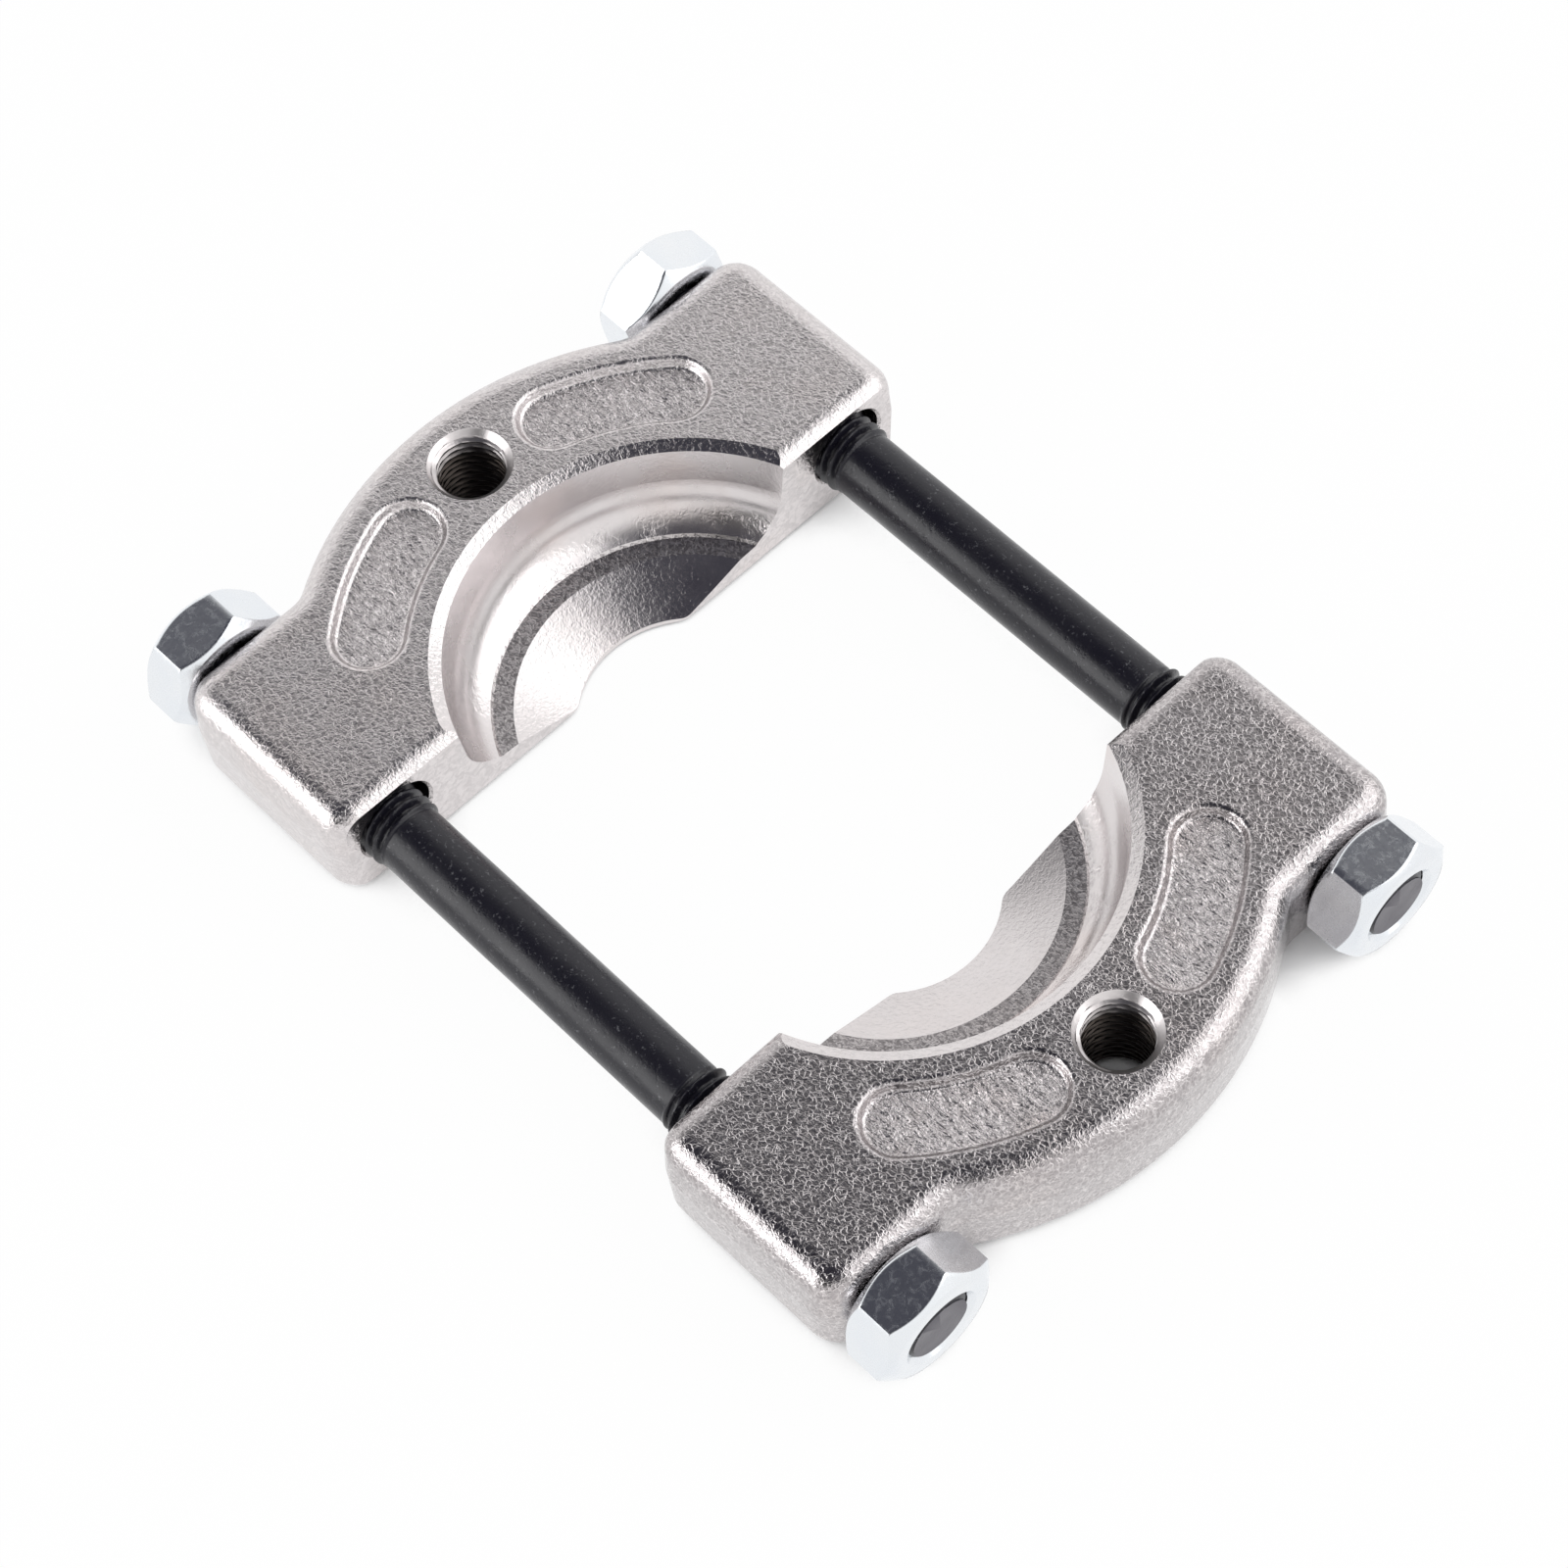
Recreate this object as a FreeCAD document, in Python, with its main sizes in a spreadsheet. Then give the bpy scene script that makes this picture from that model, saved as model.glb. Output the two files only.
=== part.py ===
"""Bearing separator: two cast half-jaws on two threaded rods, drawn together by four nuts.

The jaws lie flat with the knife edges at the bottom. X runs along the rods, from jaw A at -X
to jaw B at +X. Y runs across, with rod 1 at +Y and rod 2 at -Y. Z points up. The origin is
under the middle of the tool, at the height of the lowest nut corner, on which the tool lies.
"""
import FreeCAD
import Part
import PartDesign
import Sketcher
import math
import os

Vector = FreeCAD.Vector

# Driving dimensions, in millimetres and degrees
SIZES = [
    ("rod_length", 186.6, "whole length of a rod"),
    ("rod_end_spare", 0.2, "rod beyond the nuts of a jaw, shared evenly between the two ends"),
    ("rod_thread_diameter", 14.0, "outside of the rolled M14 thread"),
    ("rod_shank_diameter", 12.7, "plain middle of a rod, the blank that the thread is rolled on"),
    ("rod_shank_length", 69.0, "plain length between the two threaded ends"),
    ("rod_end_chamfer", 0.9, "chamfer on each rod end"),
    ("rod_runout", 0.8, "length of the cone between thread and shank"),
    ("jaw_thickness", 22.8, "height of a jaw"),
    ("bore_roof", 2.7, "metal between a rod bore and the top of the jaw"),
    ("jaw_a_play", 0.75, "how far jaw A has slipped across the rods, towards rod 1"),
    ("jaw_b_play", 0.0, "how far jaw B has slipped across the rods, towards rod 2"),
    ("rod_shift", 0.4, "how far the rods stick out further through the nuts of jaw A"),
    ("mill_stock", 1.55, "metal that milling takes off the cast mating face, at the parting line"),
    ("rod_inset", 12.9, "from the side of an ear, at the parting line, to the rod axis"),
    ("nut_crescent_gap", 1.5, "room between a nut's corner and the crescent, at the seat"),
    ("opening_rod_gap", 13.0, "least distance from the opening to a rod axis, at the mating face"),
    ("side_draft", 3.0, "casting draft, up and down from the parting line, in degrees"),
    ("front_corner_radius", 6.0, "upright corners beside the mating face"),
    ("rear_corner_radius", 6.5, "upright corners beside the nut seats"),
    ("crotch_radius", 6.0, "hollow between a nut seat and the crescent"),
    ("crescent_radius", 68.7, "outer wall of the crescent, about the opening axis"),
    ("crescent_width", 25.3, "from the opening's mouth to the outer wall of the crescent"),
    ("crescent_reach", 12.3, "how far the crescent stands out behind the nut seats"),
    ("top_edge_radius", 4.8, "rounded edge round the top of the casting"),
    ("bottom_edge_radius", 3.0, "rounded edge round the bottom of the casting"),
    ("knife_depth", 5.1, "how far the middle of the knife edge lies behind the mating face"),
    ("rim_bevel_width", 2.2, "width of that bevel in plan"),
    ("rim_bevel_depth", 1.0, "depth of that bevel"),
    ("wall_slope_width", 3.1, "how far the opening wall leans inwards down to its hollow"),
    ("wall_low_height", 14.3, "height where the hollow of the wall begins"),
    ("hollow_width", 5.9, "how far the hollow runs inwards to the foot of the wall"),
    ("foot_height", 5.9, "height of the foot of the wall"),
    ("step_drop", 0.5, "small step from the foot to the ledge"),
    ("ledge_width", 3.5, "width of the flat ledge inside the step"),
    ("ledge_height", 5.1, "height of the inner edge of the ledge"),
    ("knife_slope_width", 10.9, "width of the slope from the ledge to the knife edge, in plan"),
    ("knife_lip", 1.0, "upright lip of the knife edge"),
    ("shoulder_radius", 3.0, "rounded shoulders where the knife edge meets the mating face"),
    ("pocket_inner_rim", 3.8, "metal between the opening's mouth and a kidney pocket"),
    ("pocket_outer_rim", 7.7, "metal between a kidney pocket and the outer wall of the crescent"),
    ("pocket_start_arc", 17.5, "pocket end nearest the puller hole, along the arc from the middle"),
    ("pocket_end_arc", 39.7, "far end of the pocket, along the same arc"),
    ("pocket_depth", 1.8, "depth of the kidney pockets"),
    ("pocket_draft", 30.0, "slope of the pocket walls, in degrees from upright"),
    ("pocket_edge_radius", 1.0, "rounding at the rim and floor of the pockets"),
    ("puller_hole_inset", 14.5, "from the outer wall of the crescent to the threaded hole"),
    ("puller_hole_diameter", 12.38, "core of the M14 x 1.5 puller thread"),
    ("puller_hole_mouth", 15.5, "countersink at both ends of the puller hole"),
    ("bore_clearance", 0.8, "radial play between a rod's thread and its bore"),
    ("bore_chamfer", 0.5, "chamfer of the rod bores at the mating face"),
    ("nut_across_flats", 23.0, "spanner size of the nuts"),
    ("nut_height", 11.0, "height of a nut"),
    ("nut_chamfer_angle", 38.0, "corner chamfer of the nuts, in degrees from the nut's face"),
    ("nut_face_diameter", 21.0, "round face left by the corner chamfer"),
    ("nut_bore_clearance", 0.1, "radial play between a rod's thread and the nut's drawn bore"),
    ("nut_bore_chamfer", 0.7, "countersink of the nut's bore"),
    ("nut_seat_clearance", 0.1, "play between a nut and its seat"),
]

# How far each nut has been turned about its rod, in degrees from a corner pointing straight up
NUT_TURNS = [
    ("nut_a1_angle", 6.0),
    ("nut_a2_angle", -17.0),
    ("nut_b1_angle", -25.0),
    ("nut_b2_angle", -14.0),
]

# Sizes that follow from the driving dimensions
DERIVED = [
    ("nut_corner_radius", "=nut_across_flats / 2 / cos(30deg)"),
    ("rim_radius", "=crescent_radius - crescent_width"),
    ("wall_low_radius", "=rim_radius - wall_slope_width"),
    ("foot_radius", "=wall_low_radius - hollow_width"),
    ("ledge_inner_radius", "=foot_radius - step_drop - ledge_width"),
    ("knife_radius", "=ledge_inner_radius - knife_slope_width"),
    ("opening_setback", "=knife_radius - knife_depth"),
    ("ear_depth", "=crescent_radius - opening_setback - crescent_reach"),
    ("seat_end", "=sqrt(crescent_radius^2 - (ear_depth + opening_setback)^2)"),
    ("opening_half_width", "=sqrt(rim_radius^2 - opening_setback^2)"),
    ("half_spacing",
     "=max(seat_end + nut_crescent_gap + nut_corner_radius; opening_half_width + opening_rod_gap)"),
    ("half_ear", "=half_spacing + rod_inset"),
    ("half_gap",
     "=rod_length / 2 - rod_end_spare - nut_height - nut_seat_clearance - ear_depth"),
    ("puller_hole_setback", "=crescent_radius - opening_setback - puller_hole_inset"),
    ("pocket_outer_radius", "=crescent_radius - pocket_outer_rim"),
    ("pocket_inner_radius", "=rim_radius + pocket_inner_rim"),
    ("pocket_start_angle",
     "=pocket_start_arc * 360 / pi / (pocket_inner_radius + pocket_outer_radius)"),
    ("pocket_end_angle",
     "=pocket_end_arc * 360 / pi / (pocket_inner_radius + pocket_outer_radius)"),
    ("rod_depth", "=rod_thread_diameter / 2 + bore_clearance + bore_roof"),
    ("rod_height", "=jaw_thickness - rod_depth"),
    ("rod_axis_height", "=nut_corner_radius"),
    ("jaw_bottom_height", "=rod_axis_height - rod_height"),
    ("nut_seat_offset", "=half_gap + ear_depth + nut_seat_clearance"),
]

document = FreeCAD.newDocument("bearing_separator")
sheet = document.addObject("Spreadsheet::Sheet", "sizes")


def fill_sheet():
    """One row per size: its name, its value with the name as alias, and what it measures."""
    row = 1
    for name, value, meaning in SIZES + [(n, a, "turn of the nut, in degrees") for n, a in NUT_TURNS]:
        sheet.set(f"A{row}", name)
        sheet.set(f"B{row}", str(value))
        sheet.setAlias(f"B{row}", name)
        sheet.set(f"C{row}", meaning)
        row += 1
    for name, formula in DERIVED:
        sheet.set(f"A{row}", name)
        sheet.setAlias(f"B{row}", name)
        sheet.set(f"B{row}", formula)
        row += 1
    document.recompute()


def size(expression):
    """The present value of a size, or of an expression in the sheet's names."""
    value = sheet.evalExpression(expression)
    return float(getattr(value, "Value", value))


def outside(expression):
    """The same expression written for an object other than the sheet."""
    words = []
    word = ""
    for letter in expression + " ":
        if letter.isalnum() or letter == "_":
            word += letter
            continue
        if word and hasattr(sheet, word):
            word = "sizes." + word
        words.append(word + letter)
        word = ""
    return "".join(words).strip()


def bind(target, prop, expression):
    target.setExpression(prop, outside(expression))


def origin_feature(body, role):
    for feature in body.Origin.OriginFeatures:
        if feature.Role == role:
            return feature
    raise ValueError(role)


class Drawing:
    """A sketch on one of a body's origin planes, with every size bound to the sheet."""

    def __init__(self, body, role, name, lift=None):
        self.sketch = body.newObject("Sketcher::SketchObject", name)
        self.sketch.AttachmentSupport = [(origin_feature(body, role), "")]
        self.sketch.MapMode = "FlatFace"
        if lift:
            bind(self.sketch, "AttachmentOffset.Base.z", lift)

    def constrain(self, *arguments):
        return self.sketch.addConstraint(Sketcher.Constraint(*arguments))

    def bound(self, expression, kind, *arguments):
        """A dimension whose value is an expression in the sheet's names."""
        index = self.constrain(kind, *arguments, size(expression))
        self.sketch.setExpression(f"Constraints[{index}]", outside(expression))

    def bound_angle(self, name, line):
        """The turn of a line from the sketch's first axis, a size in degrees."""
        index = self.constrain("Angle", -1, 1, line, 1, math.radians(size(name)))
        self.sketch.setExpression(f"Constraints[{index}]", f"sizes.{name} * 1deg")

    def line(self, start, end):
        return self.sketch.addGeometry(Part.LineSegment(Vector(*start, 0), Vector(*end, 0)), False)

    def guide(self, start, end):
        """A construction line, which a turned cut calls Axis0 if it is the first."""
        return self.sketch.addGeometry(Part.LineSegment(Vector(*start, 0), Vector(*end, 0)), True)

    def arc(self, centre, radius, first_angle, last_angle):
        circle = Part.Circle(Vector(*centre, 0), Vector(0, 0, 1), radius)
        return self.sketch.addGeometry(Part.ArcOfCircle(circle, first_angle, last_angle), False)

    def circle(self, centre, radius, construction=False):
        circle = Part.Circle(Vector(*centre, 0), Vector(0, 0, 1), radius)
        return self.sketch.addGeometry(circle, construction)

    def join(self, first, first_end, second, second_end):
        self.constrain("Coincident", first, first_end, second, second_end)

    def pin(self, piece, end, x, y):
        """Holds a point at a place given by two expressions; nought puts it on the axis."""
        if x == "0":
            self.constrain("PointOnObject", piece, end, -2)
        else:
            self.bound(x, "DistanceX", -1, 1, piece, end)
        if y == "0":
            self.constrain("PointOnObject", piece, end, -1)
        else:
            self.bound(y, "DistanceY", -1, 1, piece, end)

    def path(self, corners):
        """Straight lines through the corners, each pinned at its own place; returns the lines."""
        places = [(size(x), size(y)) for x, y in corners]
        lines = [self.line(a, b) for a, b in zip(places, places[1:])]
        for index, line in enumerate(lines):
            self.pin(line, 1, *corners[index])
            if index:
                self.join(lines[index - 1], 2, line, 1)
        self.pin(lines[-1], 2, *corners[-1])
        return lines

    def polygon(self, corners):
        """A closed outline of straight lines."""
        places = [(size(x), size(y)) for x, y in corners]
        count = len(corners)
        lines = [self.line(places[i], places[(i + 1) % count]) for i in range(count)]
        for index, line in enumerate(lines):
            self.join(lines[index - 1], 2, line, 1)
            self.pin(line, 1, *corners[index])
        return lines


def through_pocket(body, drawing, name, other_way=False):
    """Cuts the drawing through the whole body, on both sides of its plane."""
    pocket = body.newObject("PartDesign::Pocket", name)
    pocket.Profile = drawing.sketch
    pocket.Type = "ThroughAll"
    pocket.Reversed = other_way
    drawing.sketch.Visibility = False
    document.recompute()
    return pocket


def turned_cut(body, drawing, name, axis):
    """Cuts the drawing turned a full circle about one of its own axes."""
    groove = body.newObject("PartDesign::Groove", name)
    groove.Profile = drawing.sketch
    groove.ReferenceAxis = (drawing.sketch, [axis])
    groove.Angle = 360.0
    document.recompute()
    return groove


def edges_where(shape, test):
    """The names of the edges for which the test, given their box, is true."""
    names = []
    for index, edge in enumerate(shape.Edges):
        if test(edge.BoundBox):
            names.append(f"Edge{index + 1}")
    return names


def level_at(height):
    """Tests for an edge that lies flat at a height."""
    return lambda box: abs(box.ZMin - height) < 1e-4 and abs(box.ZMax - height) < 1e-4


def round_edges(body, name, test, radius):
    """A fillet on the edges of the body that pass the test."""
    base = body.Tip
    edges = edges_where(base.Shape, test)
    fillet = body.newObject("PartDesign::Fillet", name)
    fillet.Base = (base, edges)
    bind(fillet, "Radius", radius)
    document.recompute()
    return fillet


def cast_blank(body):
    """The casting: a bar with two ears and a crescent behind it, rounded above and below.

    Its parting line runs at the height of the rods, and its walls lean in from there both ways.
    """
    drawing = Drawing(body, "XY_Plane", "casting_outline", lift="rod_height")
    half, depth, stock = size("half_ear"), size("ear_depth"), size("mill_stock")
    setback, crescent_radius = size("opening_setback"), size("crescent_radius")
    front, rear, hollow = size("front_corner_radius"), size("rear_corner_radius"), size("crotch_radius")
    right = math.pi / 2
    across = math.sqrt((crescent_radius + hollow) ** 2 - (depth + hollow + setback) ** 2)
    angle = math.atan2(across, depth + hollow + setback)
    lower_side = drawing.line((front - stock, -half), (depth - rear, -half))
    lower_rear = drawing.arc((depth - rear, rear - half), rear, -right, 0)
    lower_seat = drawing.line((depth, rear - half), (depth, -across))
    lower_crotch = drawing.arc((depth + hollow, -across), hollow, math.pi - angle, math.pi)
    crescent = drawing.arc((-setback, 0), crescent_radius, -angle, angle)
    upper_crotch = drawing.arc((depth + hollow, across), hollow, math.pi, math.pi + angle)
    upper_seat = drawing.line((depth, across), (depth, half - rear))
    upper_rear = drawing.arc((depth - rear, half - rear), rear, 0, right)
    upper_side = drawing.line((depth - rear, half), (front - stock, half))
    upper_front = drawing.arc((front - stock, half - front), front, right, math.pi)
    mating_side = drawing.line((-stock, half - front), (-stock, front - half))
    lower_front = drawing.arc((front - stock, front - half), front, math.pi, 3 * right)
    for first, first_end, second, second_end in (
        (lower_side, 2, lower_rear, 1), (lower_rear, 2, lower_seat, 1),
        (lower_seat, 2, lower_crotch, 2), (lower_crotch, 1, crescent, 1),
        (crescent, 2, upper_crotch, 2), (upper_crotch, 1, upper_seat, 1),
        (upper_seat, 2, upper_rear, 1), (upper_rear, 2, upper_side, 1),
        (upper_side, 2, upper_front, 1), (upper_front, 2, mating_side, 1),
        (mating_side, 2, lower_front, 1), (lower_front, 2, lower_side, 1),
    ):
        drawing.constrain("Tangent", first, first_end, second, second_end)
    for straight in (lower_side, upper_side):
        drawing.constrain("Horizontal", straight)
    for straight in (lower_seat, upper_seat, mating_side):
        drawing.constrain("Vertical", straight)
    for arc, radius in (
        (lower_front, "front_corner_radius"), (upper_front, "front_corner_radius"),
        (lower_rear, "rear_corner_radius"), (upper_rear, "rear_corner_radius"),
        (lower_crotch, "crotch_radius"), (upper_crotch, "crotch_radius"),
        (crescent, "crescent_radius"),
    ):
        drawing.bound(radius, "Radius", arc)
    drawing.pin(crescent, 3, "-opening_setback", "0")
    drawing.bound("-mill_stock", "DistanceX", -1, 1, mating_side, 1)
    drawing.bound("ear_depth", "DistanceX", -1, 1, lower_seat, 1)
    drawing.bound("ear_depth", "DistanceX", -1, 1, upper_seat, 1)
    drawing.bound("-half_ear", "DistanceY", -1, 1, lower_side, 1)
    drawing.bound("half_ear", "DistanceY", -1, 1, upper_side, 1)
    pad = body.newObject("PartDesign::Pad", "casting")
    pad.Profile = drawing.sketch
    pad.SideType = "Two sides"
    bind(pad, "Length", "rod_depth")
    bind(pad, "Length2", "rod_height")
    pad.setExpression("TaperAngle", "-sizes.side_draft")
    pad.setExpression("TaperAngle2", "-sizes.side_draft")
    document.recompute()
    round_edges(body, "top_edges", level_at(size("jaw_thickness")), "top_edge_radius")
    round_edges(body, "bottom_edges", level_at(0), "bottom_edge_radius")


def mill_mating_face(body):
    """The cast front is milled flat, which leaves a narrow bevel of its rounded top edge."""
    drawing = Drawing(body, "XY_Plane", "mating_face_cut")
    drawing.polygon([
        ("-2 * mill_stock", "-2 * half_ear"),
        ("0", "-2 * half_ear"),
        ("0", "2 * half_ear"),
        ("-2 * mill_stock", "2 * half_ear"),
    ])
    through_pocket(body, drawing, "mating_face", other_way=True)


def turn_opening(body):
    """The stepped half-round opening: bevel, wall with a hollow foot, ledge and knife slope."""
    drawing = Drawing(body, "XZ_Plane", "opening_profile")
    rim_slope = "rim_bevel_depth"
    top = "jaw_thickness"
    upper = drawing.path([
        ("-opening_setback", f"{top} + {rim_slope}"),
        ("rim_radius + rim_bevel_width - opening_setback", f"{top} + {rim_slope}"),
        ("rim_radius - rim_bevel_width - opening_setback", f"{top} - {rim_slope}"),
        ("wall_low_radius - opening_setback", "wall_low_height"),
    ])
    lower = drawing.path([
        ("foot_radius - opening_setback", "foot_height"),
        ("foot_radius - step_drop - opening_setback", "foot_height - step_drop"),
        ("ledge_inner_radius - opening_setback", "ledge_height"),
        ("knife_radius - opening_setback", "knife_lip"),
        ("knife_radius - opening_setback", "-knife_lip"),
        ("-opening_setback", "-knife_lip"),
    ])
    setback = size("opening_setback")
    axis = drawing.line((-setback, -size("knife_lip")), (-setback, size(f"{top} + {rim_slope}")))
    drawing.join(lower[-1], 2, axis, 1)
    drawing.join(axis, 2, upper[0], 1)
    wall_x, wall_z = size("wall_low_radius") - setback, size("wall_low_height")
    rim_x = size("rim_radius - rim_bevel_width") - setback
    rim_z = size("jaw_thickness - rim_bevel_depth")
    foot_x, foot_z = size("foot_radius") - setback, size("foot_height")
    length = math.hypot(rim_x - wall_x, rim_z - wall_z)
    inward = (-(rim_z - wall_z) / length, (rim_x - wall_x) / length)
    reach_x, reach_z = foot_x - wall_x, foot_z - wall_z
    hollow_radius = (reach_x ** 2 + reach_z ** 2) / 2 / (reach_x * inward[0] + reach_z * inward[1])
    centre = (wall_x + hollow_radius * inward[0], wall_z + hollow_radius * inward[1])
    first = math.atan2(foot_z - centre[1], foot_x - centre[0])
    last = math.atan2(wall_z - centre[1], wall_x - centre[0])
    hollow = drawing.arc(centre, hollow_radius, first, last)
    drawing.join(hollow, 1, lower[0], 1)
    drawing.constrain("Tangent", upper[-1], 2, hollow, 2)
    centre_line = drawing.guide((-setback, -size("knife_lip")), (-setback, 0))
    drawing.join(centre_line, 1, axis, 1)
    drawing.pin(centre_line, 2, "-opening_setback", "0")
    turned_cut(body, drawing, "opening", "Axis0")


def round_shoulders(body):
    """The knife edge runs out to the mating face over two rounded shoulders."""
    drawing = Drawing(body, "XY_Plane", "shoulder_outline")
    setback, knife, round_off = size("opening_setback"), size("knife_radius"), size("shoulder_radius")
    stock = size("mill_stock")
    side = math.sqrt((knife + round_off) ** 2 - (setback + round_off) ** 2)
    angle = math.atan2(side, setback + round_off)
    knife_arc = drawing.arc((-setback, 0), knife, -angle, angle)
    upper_arc = drawing.arc((round_off, side), round_off, math.pi, math.pi + angle)
    lower_arc = drawing.arc((round_off, -side), round_off, math.pi - angle, math.pi)
    upper_line = drawing.line((0, side), (-stock, side))
    front_line = drawing.line((-stock, side), (-stock, -side))
    lower_line = drawing.line((-stock, -side), (0, -side))
    drawing.constrain("Tangent", upper_arc, 2, knife_arc, 2)
    drawing.constrain("Tangent", knife_arc, 1, lower_arc, 1)
    drawing.join(upper_line, 1, upper_arc, 1)
    drawing.join(upper_line, 2, front_line, 1)
    drawing.join(front_line, 2, lower_line, 1)
    drawing.join(lower_line, 2, lower_arc, 2)
    drawing.constrain("Horizontal", upper_line)
    drawing.constrain("Horizontal", lower_line)
    drawing.constrain("Vertical", front_line)
    drawing.constrain("Horizontal", upper_arc, 3, upper_arc, 1)
    drawing.constrain("Horizontal", lower_arc, 3, lower_arc, 2)
    drawing.constrain("PointOnObject", upper_arc, 1, -2)
    drawing.constrain("PointOnObject", lower_arc, 2, -2)
    drawing.pin(knife_arc, 3, "-opening_setback", "0")
    drawing.bound("knife_radius", "Radius", knife_arc)
    drawing.bound("shoulder_radius", "Radius", upper_arc)
    drawing.bound("shoulder_radius", "Radius", lower_arc)
    drawing.bound("-mill_stock", "DistanceX", -1, 1, front_line, 1)
    through_pocket(body, drawing, "shoulders", other_way=True)


def sink_pockets(body):
    """Two shallow kidney pockets in the top of the crescent, one each side of the middle."""
    drawing = Drawing(body, "XY_Plane", "kidney_outline", lift="jaw_thickness")
    centre = (-size("opening_setback"), 0)
    inner, outer = size("pocket_inner_radius"), size("pocket_outer_radius")
    middle, half = (inner + outer) / 2, (outer - inner) / 2
    start = math.radians(size("pocket_start_angle"))
    end = math.radians(size("pocket_end_angle"))
    start_centre = (centre[0] + middle * math.cos(start), middle * math.sin(start))
    end_centre = (centre[0] + middle * math.cos(end), middle * math.sin(end))
    outer_arc = drawing.arc(centre, outer, start, end)
    inner_arc = drawing.arc(centre, inner, start, end)
    end_arc = drawing.arc(end_centre, half, end, end + math.pi)
    start_arc = drawing.arc(start_centre, half, start + math.pi, start + 2 * math.pi)
    start_guide = drawing.guide(centre, start_centre)
    end_guide = drawing.guide(centre, end_centre)
    drawing.constrain("Tangent", outer_arc, 2, end_arc, 1)
    drawing.constrain("Tangent", end_arc, 2, inner_arc, 2)
    drawing.constrain("Tangent", inner_arc, 1, start_arc, 1)
    drawing.constrain("Tangent", start_arc, 2, outer_arc, 1)
    drawing.join(inner_arc, 3, outer_arc, 3)
    drawing.join(start_guide, 1, outer_arc, 3)
    drawing.join(end_guide, 1, outer_arc, 3)
    drawing.join(start_guide, 2, start_arc, 3)
    drawing.join(end_guide, 2, end_arc, 3)
    drawing.pin(outer_arc, 3, "-opening_setback", "0")
    drawing.bound("pocket_outer_radius", "Radius", outer_arc)
    drawing.bound("pocket_inner_radius", "Radius", inner_arc)
    drawing.bound_angle("pocket_start_angle", start_guide)
    drawing.bound_angle("pocket_end_angle", end_guide)
    pocket = body.newObject("PartDesign::Pocket", "kidney_pocket")
    pocket.Profile = drawing.sketch
    bind(pocket, "Length", "pocket_depth")
    pocket.setExpression("TaperAngle", "-sizes.pocket_draft")
    document.recompute()
    mirrored = body.newObject("PartDesign::Mirrored", "second_kidney_pocket")
    mirrored.Originals = [pocket]
    mirrored.MirrorPlane = (origin_feature(body, "XZ_Plane"), [""])
    body.Tip = mirrored
    document.recompute()

    top, floor = size("jaw_thickness"), size("jaw_thickness - pocket_depth")
    band = (size("pocket_inner_radius"), size("pocket_outer_radius"))
    setback = size("opening_setback")

    def on_pocket(box):
        level = level_at(top)(box) or level_at(floor)(box)
        away = math.hypot(box.Center.x + setback, box.Center.y)
        inside = band[0] - 1 < away < band[1] + 1
        return level and inside and abs(box.Center.y) > 5

    round_edges(body, "pocket_edges", on_pocket, "pocket_edge_radius")


def tap_puller_hole(body):
    """The threaded hole that takes the puller's bolt, countersunk at both ends."""
    drawing = Drawing(body, "XZ_Plane", "puller_hole_profile")
    core = "puller_hole_setback + puller_hole_diameter / 2"
    mouth = "puller_hole_setback + puller_hole_mouth / 2"
    beyond = "puller_hole_setback + puller_hole_mouth - puller_hole_diameter / 2"
    sink = "(puller_hole_mouth - puller_hole_diameter) / 2"
    drawing.polygon([
        ("puller_hole_setback", f"-{sink}"),
        (beyond, f"-{sink}"),
        (core, sink),
        (core, f"jaw_thickness - {sink}"),
        (beyond, f"jaw_thickness + {sink}"),
        ("puller_hole_setback", f"jaw_thickness + {sink}"),
    ])
    centre_line = drawing.guide((size("puller_hole_setback"), 0), (size("puller_hole_setback"), 1))
    drawing.pin(centre_line, 1, "puller_hole_setback", "0")
    drawing.pin(centre_line, 2, "puller_hole_setback", "jaw_thickness")
    turned_cut(body, drawing, "puller_hole", "Axis0")


def bore_for_rods(body):
    """Plain bores along both rods, chamfered where they open in the mating face."""
    drawing = Drawing(body, "YZ_Plane", "rod_bore_circles")
    radius = "rod_thread_diameter / 2 + bore_clearance"
    for across in ("half_spacing", "-half_spacing"):
        circle = drawing.circle((size(across), size("rod_height")), size(radius))
        drawing.pin(circle, 3, across, "rod_height")
        drawing.bound(radius, "Radius", circle)
    through_pocket(body, drawing, "rod_bores", other_way=True)
    base = body.Tip
    wanted = size(radius) * 2

    def mouth(box):
        flat = abs(box.XMin) < 1e-4 and abs(box.XMax) < 1e-4
        return flat and abs(box.YLength - wanted) < 1e-3

    chamfer = body.newObject("PartDesign::Chamfer", "rod_bore_mouths")
    chamfer.Base = (base, edges_where(base.Shape, mouth))
    bind(chamfer, "Size", "bore_chamfer")
    document.recompute()


def make_jaw(label, side):
    """One half-jaw; side is 1 for jaw B at +X and -1 for jaw A, which is turned half round."""
    body = document.addObject("PartDesign::Body", label)
    body.Label = label
    cast_blank(body)
    mill_mating_face(body)
    turn_opening(body)
    round_shoulders(body)
    sink_pockets(body)
    tap_puller_hole(body)
    bore_for_rods(body)
    body.Placement = FreeCAD.Placement(
        Vector(0, 0, 0), FreeCAD.Rotation(Vector(0, 0, 1), 0 if side > 0 else 180))
    bind(body, "Placement.Base.x", "half_gap" if side > 0 else "-half_gap")
    bind(body, "Placement.Base.y", "-jaw_b_play" if side > 0 else "jaw_a_play")
    bind(body, "Placement.Base.z", "jaw_bottom_height")


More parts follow.
